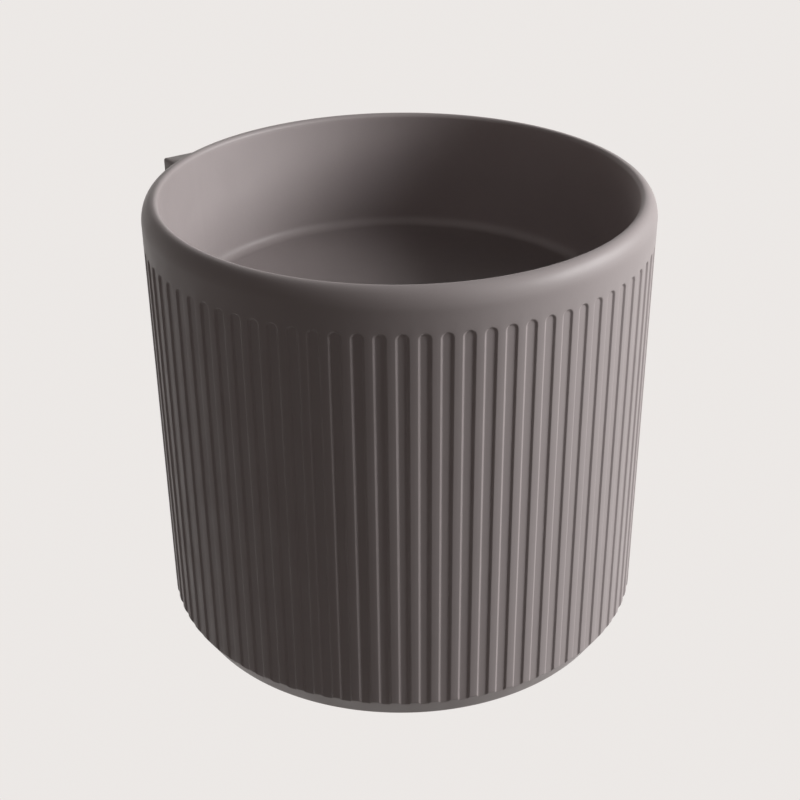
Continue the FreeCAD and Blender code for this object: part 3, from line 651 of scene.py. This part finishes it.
def bore_cutter(name, centre, along, radius, near, far, soften):
    """A round hole from near to far along Y or Z, with both its edges softened."""
    past, third = 4, soften * 0.3
    line = [(near - past, radius + soften), (near, radius + soften), (near + third, radius + third),
            (near + soften, radius), (far - soften, radius), (far - third, radius + third),
            (far, radius + soften), (far + past, radius + soften)]
    return joined_rings(name, [ring(wide, reach, centre, along, BORE_STEPS)
                               for reach, wide in line])


# ---------------------------------------------------------------- the whole ceramic body

def level_sheets(mesh):
    """The faces of the block's back, the pocket's panel and the hollow's ceiling, all level."""
    planes = ((1, BLOCK_BACK + AXIS_Y), (1, POCKET_BACK + AXIS_Y), (2, HOLLOW_TOP + FOOT_Z))
    tolerance = 0.02
    sheets = []
    for face in mesh.polygons:
        corners = [mesh.vertices[corner].co for corner in face.vertices]
        if any(all(abs(corner[axis] / MM - level) < tolerance for corner in corners)
               for axis, level in planes):
            sheets.append(face)
    return sheets


def crease_round_sheets(mesh, sheets):
    """Sharp edges round the level sheets, so that a hole's soft edge doesn't shade the sheet."""
    uses = {}
    for face in sheets:
        for loop in face.loop_indices:
            edge = mesh.loops[loop].edge_index
            uses[edge] = uses.get(edge, 0) + 1
    for edge, count in uses.items():
        if count == 1:
            mesh.edges[edge].use_edge_sharp = True


def edge_bend(shape):
    """How far the surface turns at each point: over 0 on edges and under 0 in corners."""
    most, passes = 0.9, 2
    bend = []
    for vert in shape.verts:
        turned = sum(edge.calc_face_angle_signed(0.0) for edge in vert.link_edges
                     if len(edge.link_faces) == 2)
        bend.append(max(-most, min(most, turned)))
    for _ in range(passes):
        bend = [0.5 * bend[vert.index]
                + 0.5 * sum(bend[edge.other_vert(vert).index] for edge in vert.link_edges)
                / max(len(vert.link_edges), 1) for vert in shape.verts]
    return bend


def flute_share(point):
    """How far down in a flute a point lies: 0 on the land or off the flutes, 1 on its floor."""
    x, y, z = point.x / MM, point.y / MM - AXIS_Y, point.z / MM - FOOT_Z
    lowest, margin, deepest = 16, 0.01, 1.05
    if not lowest < z < FLUTED_SIDE_TOP or abs(math.atan2(x, -y)) >= FLUTED_END + margin:
        return 0.0
    share = (DRUM_RADIUS - math.hypot(x, y)) / FLUTE_DEPTH
    return share if share <= deepest else 0.0


def mark_painted_light(mesh, sheets):
    """Stores a painted highlight where the surface turns outward over edges, and a painted shade in
    corners and on the flutes' floors.
    """
    bend_effect, flute_effect = 1.6, 0.15
    level = {corner for face in sheets for corner in face.vertices}
    shape = bmesh.new()
    shape.from_mesh(mesh)
    shape.normal_update()
    shape.verts.ensure_lookup_table()
    marks = {"glaze_thin": [], "glaze_gathered": []}
    for vert, bend in zip(shape.verts, edge_bend(shape)):
        flute = flute_share(vert.co)
        if vert.index in level:
            bend = flute = 0.0
        # painted highlight: lighter where the surface turns outward over an edge
        marks["glaze_thin"].append(max(0.0, min(1.0, bend * bend_effect)))
        # painted shade: darker in corners and on the flutes' floors
        shade_amount = -bend * bend_effect + flute * flute_effect
        marks["glaze_gathered"].append(max(0.0, min(1.0, shade_amount)))
    shape.free()
    for name, values in marks.items():
        mesh.attributes.new(name, "FLOAT", "POINT").data.foreach_set("value", values)


def ceramic_basin(glaze):
    """The whole ceramic body: fluted side, rear block, lip, bowl and hollow."""
    shape = gathered((flutes_round_the_drum(glaze), rear_and_bowl()))
    bmesh.ops.remove_doubles(shape, verts=shape.verts[:], dist=WELD_DISTANCE)
    rim = [edge for edge in shape.edges if len(edge.link_faces) == 1]
    middle = shape.verts.new(place(0, 0, 0))
    for edge in rim:
        shape.faces.new((edge.verts[0], edge.verts[1], middle))
    bmesh.ops.recalc_face_normals(shape, faces=shape.faces[:])
    body = mesh_object("basin_shell", mesh_of(shape, "basin_shell"))
    panel = (POCKET_BACK, BLOCK_BACK)
    cutters = [hollow_cutter(),
               bore_cutter("waste_hole", (0, 0), "Z", WASTE_HOLE, HOLLOW_TOP, RECESS_FLOOR_Z, 0.8),
               bore_cutter("pipe_hole", (0, PIPE_Z), "Y", PIPE_HOLE, *panel, 1.2)]
    for x in (-BOLT_X, BOLT_X):
        cutters.append(bore_cutter("bolt_hole", (x, BOLT_Z), "Y", BOLT_HOLE, *panel, 0.8))
    helpers = [mesh_object(mesh.name, mesh) for mesh in cutters]
    for helper in helpers:
        cut = body.modifiers.new(helper.data.name, "BOOLEAN")
        cut.operation = "DIFFERENCE"
        cut.solver = "MANIFOLD"
        cut.object = helper
    mesh = finished_mesh(body, "ceramic_basin")
    for helper in helpers:
        bpy.data.objects.remove(helper)
    smoothed(mesh, glaze, sharp=38)
    sheets = level_sheets(mesh)
    crease_round_sheets(mesh, sheets)
    mark_painted_light(mesh, sheets)
    basin = mesh_object("ceramic_basin", mesh)
    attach(basin, "basin")
    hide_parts("basin_body")


# ---------------------------------------------------------------- hanger bolts

def thread_tree():
    """Winds a flat sheet into a threaded rod along Y: its X goes round, its Y along."""
    ridge_flat, end_chamfer, end_row, whole_turns = 1.15, 0.82, 0.00001, 8
    inputs = [(title, "size") for title in
              ("Length", "Pitch", "Core radius", "Thread depth", "Ridge", "Point")]
    tree = ShapeTree("thread_round_a_rod", inputs + [("Start", "place"), ("Finish", "finish")],
                     "Threaded rod")
    given, number, within = tree.given, tree.number, tree.within
    real = tree.step("GeometryNodeRealizeInstances", given["Piece"])
    flat = tree.position()
    along = number("MULTIPLY", flat["Y"], given["Length"])
    left = number("SUBTRACT", given["Length"], along)
    wound = number("SUBTRACT", number("DIVIDE", along, given["Pitch"]), flat["X"])
    phase = number("FRACT", number("ADD", wound, whole_turns))
    off = number("ABSOLUTE", number("SUBTRACT", number("MULTIPLY", phase, 2), 1))
    ridge = within(number("SUBTRACT", ridge_flat, number("DIVIDE", off, given["Ridge"])))
    fade = number("MULTIPLY", within(number("DIVIDE", along, given["Pitch"])),
                  within(number("DIVIDE", left, given["Pitch"])))
    thread = number("MULTIPLY", number("MULTIPLY", ridge, given["Thread depth"]), fade)
    taper = within(number("DIVIDE", left, given["Point"]))
    core = number("MULTIPLY", given["Core radius"], taper)
    near_start = number("ADD", number("MULTIPLY", given["Core radius"], end_chamfer), along)
    chamfer = number("MINIMUM", core, near_start)
    closed = number("MULTIPLY", number("GREATER_THAN", flat["Y"], end_row),
                    number("LESS_THAN", flat["Y"], 1 - end_row))
    radius = number("MULTIPLY", number("ADD", chamfer, thread), closed)
    angle = number("MULTIPLY", flat["X"], 2 * math.pi)
    east = number("MULTIPLY", radius, number("COSINE", angle))
    up = number("MULTIPLY", radius, number("SINE", angle))
    tree.end(tree.moved(real, east, along, up, given["Start"]))
    return tree


def flat_sheet(name, around, rows):
    """A sheet one unit wide and long, with both end rows doubled to close the rod's ends."""
    margin = 0.00002
    sheet = bmesh.new()
    places = [margin + (1 - 2 * margin) * row / rows for row in range(rows + 1)]
    grid = [[sheet.verts.new((step / around, row, 0)) for step in range(around + 1)]
            for row in [0.0] + places + [1.0]]
    for low, high in zip(grid, grid[1:]):
        join_rows(sheet, low, high)
    return mesh_of(sheet, name)


def turned(name, line, centre, along, steps):
    """A closed turned mesh: (radius, reach) points swept round an axis, with both ends on it."""
    shape = bmesh.new()
    rings = []
    for radius, reach in line:
        points = ring(radius, reach, centre, along, steps if radius else 1)
        rings.append([shape.verts.new(place(*point)) for point in points])
    for low, high in zip(rings, rings[1:]):
        for column in range(steps):
            after = (column + 1) % steps
            corners = (low[column % len(low)], low[after % len(low)],
                       high[after % len(high)], high[column % len(high)])
            shape.faces.new(list(dict.fromkeys(corners)))
    bmesh.ops.recalc_face_normals(shape, faces=shape.faces[:])
    return mesh_of(shape, name)


def whole_piece(name, parts, finish, body, node):
    """One piece made of closed parts, in place of its CAD node."""
    shape = gathered(parts)
    bmesh.ops.recalc_face_normals(shape, faces=shape.faces[:])
    mesh = mesh_of(shape, name)
    smoothed(mesh, finish, sharp=40)
    piece = mesh_object(name, mesh)
    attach(piece, body)
    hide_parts(node)


def hanger_bolts(zinc):
    """Machine thread in the block, plain collar at the wall, pointed wood thread in the wall."""
    tree = thread_tree()
    collar_line = [(0, 204.2), (4.2, 204.2), (5.0, 205.4), (5.0, 212.0), (3.6, 213.6), (0, 213.6)]
    for side, x in (("left", -BOLT_X), ("right", BOLT_X)):
        machine = tree.run(flat_sheet("machine_thread", 24, 190), Length=0.0375, Pitch=0.0015,
                           Core_radius=0.0040, Thread_depth=0.0009, Ridge=0.85, Point=0.0001,
                           Start=place(x, 169.0, BOLT_Z), Finish=zinc)
        wood = tree.run(flat_sheet("wood_thread", 24, 180), Length=0.0585, Pitch=0.0040,
                        Core_radius=0.0035, Thread_depth=0.0014, Ridge=0.42, Point=0.0115,
                        Start=place(x, 211.4, BOLT_Z), Finish=zinc)
        collar = turned("collar", collar_line, (x, BOLT_Z), "Y", 32)
        whole_piece(f"threaded_bolt_{side}", [machine, wood, collar], zinc,
                    "basin", f"hanger_bolt_{side}")


# ---------------------------------------------------------------- finishes

class Finish(Nodes):
    """A material with its nodes at hand."""

    def __init__(self, name):
        self.material = bpy.data.materials.new(name)
        self.material.use_nodes = True
        super().__init__(self.material.node_tree)
        self.shader = self.nodes["Principled BSDF"]
        self.where = self.nodes.new("ShaderNodeTexCoord").outputs["Object"]

    def noise(self, scale, detail):
        node = self.nodes.new("ShaderNodeTexNoise")
        for name, value in (("Scale", scale), ("Detail", detail), ("Roughness", 0.55),
                            ("Vector", self.where)):
            self.feed(node.inputs[name], value)
        return node.outputs["Fac"]

    def spread(self, value, low, high, start=0.3, end=0.7):
        """The value's range from start to end spread over low to high."""
        node = self.nodes.new("ShaderNodeMapRange")
        for name, given in (("From Min", start), ("From Max", end), ("To Min", low),
                            ("To Max", high), ("Value", value)):
            self.feed(node.inputs[name], given)
        return node.outputs["Result"]

    def blend(self, part, first, second):
        node = self.nodes.new("ShaderNodeMix")
        node.data_type = "RGBA"
        sockets = [socket for socket in node.inputs if socket.enabled]
        for socket, value in zip(sockets, (part, first, second)):
            self.feed(socket, value)
        return [socket for socket in node.outputs if socket.enabled][0]

    def marked(self, name, strength):
        """A mark stored on the mesh, at a strength."""
        node = self.nodes.new("ShaderNodeAttribute")
        node.attribute_name = name
        return self.number("MULTIPLY", node.outputs["Fac"], strength)

    def relief(self, height, distance, strength, over=None):
        node = self.nodes.new("ShaderNodeBump")
        for name, value in (("Strength", strength), ("Distance", distance), ("Height", height),
                            ("Normal", over)):
            self.feed(node.inputs[name], value)
        return node.outputs["Normal"]

    def give(self, **sockets):
        names = {"colour": "Base Color", "roughness": "Roughness", "normal": "Normal",
                 "metal": "Metallic", "specular": "Specular IOR Level"}
        for key, value in sockets.items():
            self.feed(self.shader.inputs[names[key]], value)
        return self.material


def matt_glaze():
    """Warm grey matt glaze with a dry grain, painted lighter on edges as a highlight and painted
    darker in corners and flutes as shade.
    """
    finish = Finish("matt_glaze")
    clouds = finish.spread(finish.noise(9.0, 4.0), 0.0, 1.0)
    colour = finish.blend(clouds, (0.345, 0.306, 0.305), (0.372, 0.331, 0.330))
    grain = finish.spread(finish.noise(1400.0, 2.0), 0.0, 1.0, 0.35, 0.65)
    colour = finish.blend(finish.number("MULTIPLY", grain, 0.16), colour, (0.42, 0.378, 0.377))
    # painted highlight: a lighter colour on outward edges
    colour = finish.blend(finish.marked("glaze_thin", 0.35), colour, (0.46, 0.415, 0.413))
    # painted shade: a darker colour in corners and on the flutes' floors
    colour = finish.blend(finish.marked("glaze_gathered", 0.08), colour, (0.25, 0.213, 0.21))
    rough = finish.spread(finish.noise(38.0, 3.0), 0.42, 0.5)
    skin = finish.relief(finish.noise(170.0, 2.0), 0.00035, 0.12)
    dry = finish.relief(finish.noise(2600.0, 2.0), 0.00006, 0.3, skin)
    return finish.give(colour=colour, roughness=rough, normal=dry, specular=0.32)


def polished_chrome():
    """Chrome plating with faint polishing marks, and thread turns on the tube of the waste."""
    thread_inside, thread_outside, thread_pitch = 0.0206, 0.0211, 0.0022
    finish = Finish("polished_chrome")
    number = finish.number
    where = finish.split(finish.where)
    sideways = number("SUBTRACT", where["Y"], AXIS_Y * MM)
    out = number("SQRT", number("ADD", number("MULTIPLY", where["X"], where["X"]),
                                number("MULTIPLY", sideways, sideways)))
    on_thread = number("MULTIPLY", number("GREATER_THAN", out, thread_inside),
                       number("LESS_THAN", out, thread_outside))
    turns = number("SINE", number("MULTIPLY", where["Z"], 2 * math.pi / thread_pitch))
    thread = finish.relief(number("MULTIPLY", turns, on_thread), 0.00045, 0.9)
    clouds = finish.spread(finish.noise(60.0, 3.0), 0.0, 1.0)
    colour = finish.blend(clouds, (0.80, 0.81, 0.82), (0.86, 0.87, 0.88))
    rough = finish.spread(finish.noise(240.0, 4.0), 0.06, 0.16)
    return finish.give(colour=colour, roughness=rough, metal=1.0, normal=thread)


def plain_finish(name, patches, colours, rough, skin=None, metal=0.0):
    """A finish in patches of two colours, with an uneven roughness and a fine skin.

    patches: noise scale and detail, and the noise's start and end where they aren't the usual ones
    rough: noise scale and detail, least and most roughness
    skin: noise scale, distance and strength
    """
    finish = Finish(name)
    part = finish.spread(finish.noise(*patches[:2]), 0.0, 1.0, *patches[2:])
    uneven = finish.spread(finish.noise(*rough[:2]), *rough[2:])
    relief = finish.relief(finish.noise(skin[0], 2.0), *skin[1:]) if skin else None
    return finish.give(colour=finish.blend(part, *colours), roughness=uneven, normal=relief,
                       metal=metal)


FINISHES = {
    "glaze": matt_glaze(),
    # the plug's sprayed coat, in the glaze's colour
    "plug_coating": plain_finish("plug_coating", (30.0, 3.0),
                                 ((0.335, 0.302, 0.296), (0.355, 0.322, 0.315)),
                                 (120.0, 2.0, 0.40, 0.48), (3200.0, 0.00004, 0.35)),
    "polished": polished_chrome(),
    # brass with the marks of turning and a slight tarnish
    "brass": plain_finish("turned_brass", (45.0, 5.0, 0.4, 0.75),
                          ((0.70, 0.53, 0.25), (0.48, 0.34, 0.15)),
                          (300.0, 4.0, 0.22, 0.4), (1800.0, 0.00004, 0.4), metal=1.0),
    # dull bluish grey plating with soft cloudy patches
    "zinc": plain_finish("zinc_plate", (90.0, 4.0), ((0.52, 0.53, 0.54), (0.66, 0.66, 0.64)),
                         (420.0, 3.0, 0.28, 0.46), (1500.0, 0.00006, 0.35), metal=1.0),
    # drawn wire with a faint oily darkening
    "spring_wire": plain_finish("spring_wire", (500.0, 3.0),
                                ((0.42, 0.42, 0.43), (0.58, 0.58, 0.59)),
                                (900.0, 3.0, 0.22, 0.36), metal=1.0),
    # black moulded rubber with a dusty bloom
    "rubber": plain_finish("seal_rubber", (120.0, 5.0, 0.4, 0.8),
                           ((0.022, 0.022, 0.023), (0.06, 0.059, 0.057)),
                           (400.0, 3.0, 0.55, 0.75), (2200.0, 0.00005, 0.5)),
    # natural moulded plastic, slightly waxy
    "plain_plastic": plain_finish("plain_plastic", (70.0, 3.0),
                                  ((0.66, 0.66, 0.63), (0.74, 0.74, 0.72)),
                                  (350.0, 3.0, 0.38, 0.5), (1600.0, 0.00005, 0.3)),
    # white moulded trap plastic, satin, with a faint orange-peel skin
    "white_plastic": plain_finish("white_plastic", (25.0, 3.0),
                                  ((0.76, 0.76, 0.745), (0.81, 0.81, 0.80)),
                                  (160.0, 3.0, 0.3, 0.42), (620.0, 0.00008, 0.25)),
}

# ---------------------------------------------------------------- pieces

ceramic_basin(FINISHES["glaze"])
hanger_bolts(FINISHES["zinc"])

for part in frame["record"]["subparts"]:
    node = frame["nodes"][part["node"]]
    if not node.material_slots:
        node.data.materials.append(None)
    for holder in node.material_slots:
        holder.material = FINISHES[part["material_slot"]]


# ---------------------------------------------------------------- floor, light and camera

BACKGROUND = (0.84, 0.81, 0.79)
LAMP_AIM = place(0, 0, 230)


def pale_floor():
    """A wide floor under the basin, pale where it is seen and dull where it throws light back."""
    level, reach = -1.7, 30
    floor = bmesh.new()
    corners = ((-reach, -reach), (reach, -reach), (reach, reach), (-reach, reach))
    floor.faces.new([floor.verts.new((x, y, level)) for x, y in corners])
    mesh = mesh_of(floor, "pale_floor")
    material = bpy.data.materials.new("pale_floor")
    material.use_nodes = True
    tree = Nodes(material.node_tree)
    tree.nodes.clear()
    out = tree.nodes.new("ShaderNodeOutputMaterial")
    glow = tree.nodes.new("ShaderNodeEmission")
    tree.feed(glow.inputs["Color"], BACKGROUND)
    dull = tree.nodes.new("ShaderNodeBsdfDiffuse")
    tree.feed(dull.inputs["Color"], (0.13, 0.115, 0.11))
    tree.by_ray(dull.outputs[0], glow.outputs[0], out.inputs["Surface"])
    mesh.materials.append(material)
    mesh_object("pale_floor", mesh)


def room_light():
    """Light from all round, a little stronger from the sides than from above."""
    world = bpy.data.worlds.new("room_light")
    bpy.context.scene.world = world
    world.use_nodes = True
    tree = Nodes(world.node_tree)
    tree.nodes.clear()
    out = tree.nodes.new("ShaderNodeOutputWorld")
    height = tree.split(tree.nodes.new("ShaderNodeTexCoord").outputs["Generated"])["Z"]
    level = tree.nodes.new("ShaderNodeMapRange")
    level.interpolation_type = "SMOOTHSTEP"
    for name, value in (("From Min", -0.1), ("From Max", 0.6), ("To Min", 0.20), ("To Max", 0.02),
                        ("Value", height)):
        tree.feed(level.inputs[name], value)
    fill = tree.nodes.new("ShaderNodeBackground")
    tree.feed(fill.inputs["Color"], (1.0, 0.80, 0.74))
    tree.feed(fill.inputs["Strength"], level.outputs["Result"])
    pale = tree.nodes.new("ShaderNodeBackground")
    tree.feed(pale.inputs["Color"], BACKGROUND)
    tree.feed(pale.inputs["Strength"], 1.0)
    tree.by_ray(fill.outputs[0], pale.outputs[0], out.inputs["Surface"])


def soft_box(name, direction, distance, size, watts, colour, seen_in_gloss=True):
    """A soft lamp aimed at the basin from a direction, its distance and size in metres."""
    lamp = bpy.data.lights.new(name, "AREA")
    lamp.shape = "RECTANGLE"
    lamp.size, lamp.size_y = size
    lamp.energy = watts
    lamp.color = colour
    holder = bpy.data.objects.new(name, lamp)
    bpy.context.scene.collection.objects.link(holder)
    away = Vector(direction).normalized()
    holder.location = LAMP_AIM + away * distance
    holder.rotation_euler = away.to_track_quat("Z", "Y").to_euler()
    holder.visible_camera = False
    holder.visible_glossy = seen_in_gloss


def photo_camera():
    """The photograph's viewpoint, from in front, to the left and above."""
    swing, tilt, roll = math.radians(33.24), math.radians(28.46), math.radians(0.508)
    stands_at = (-0.5825, -1.0923, 0.5389)
    sensor, focal_pixels, photo_pixels = 36.0, 1434.34, 800
    ahead = Vector((math.sin(swing) * math.cos(tilt), math.cos(swing) * math.cos(tilt),
                    -math.sin(tilt)))
    right = Vector((math.cos(swing), -math.sin(swing), 0))
    across = right * math.cos(roll) - right.cross(ahead) * math.sin(roll)
    upright = across.cross(ahead)
    lens = bpy.data.cameras.new("photo_camera")
    lens.sensor_width = sensor
    lens.lens = sensor * focal_pixels / photo_pixels
    lens.clip_end = 100
    camera = bpy.data.objects.new("photo_camera", lens)
    bpy.context.scene.collection.objects.link(camera)
    facing = Matrix((across, upright, -ahead)).transposed().to_4x4()
    camera.matrix_world = Matrix.Translation(stands_at) @ facing
    bpy.context.scene.camera = camera


pale_floor()
soft_box("window_light", (0.718, -0.561, 0.365), 3.0, (2.0, 1.2), 114.0, (1.0, 0.995, 0.995))
soft_box("light_from_behind", (0.25, 0.95, 0.12), 3.0, (1.6, 1.2), 34.0, (1.0, 0.98, 0.96),
         seen_in_gloss=False)
soft_box("light_from_below", (0, 0, -1), 0.55, (0.12, 0.12), 0.9, (1.0, 0.96, 0.93),
         seen_in_gloss=False)
room_light()
photo_camera()
bpy.context.scene.view_settings.view_transform = "Standard"
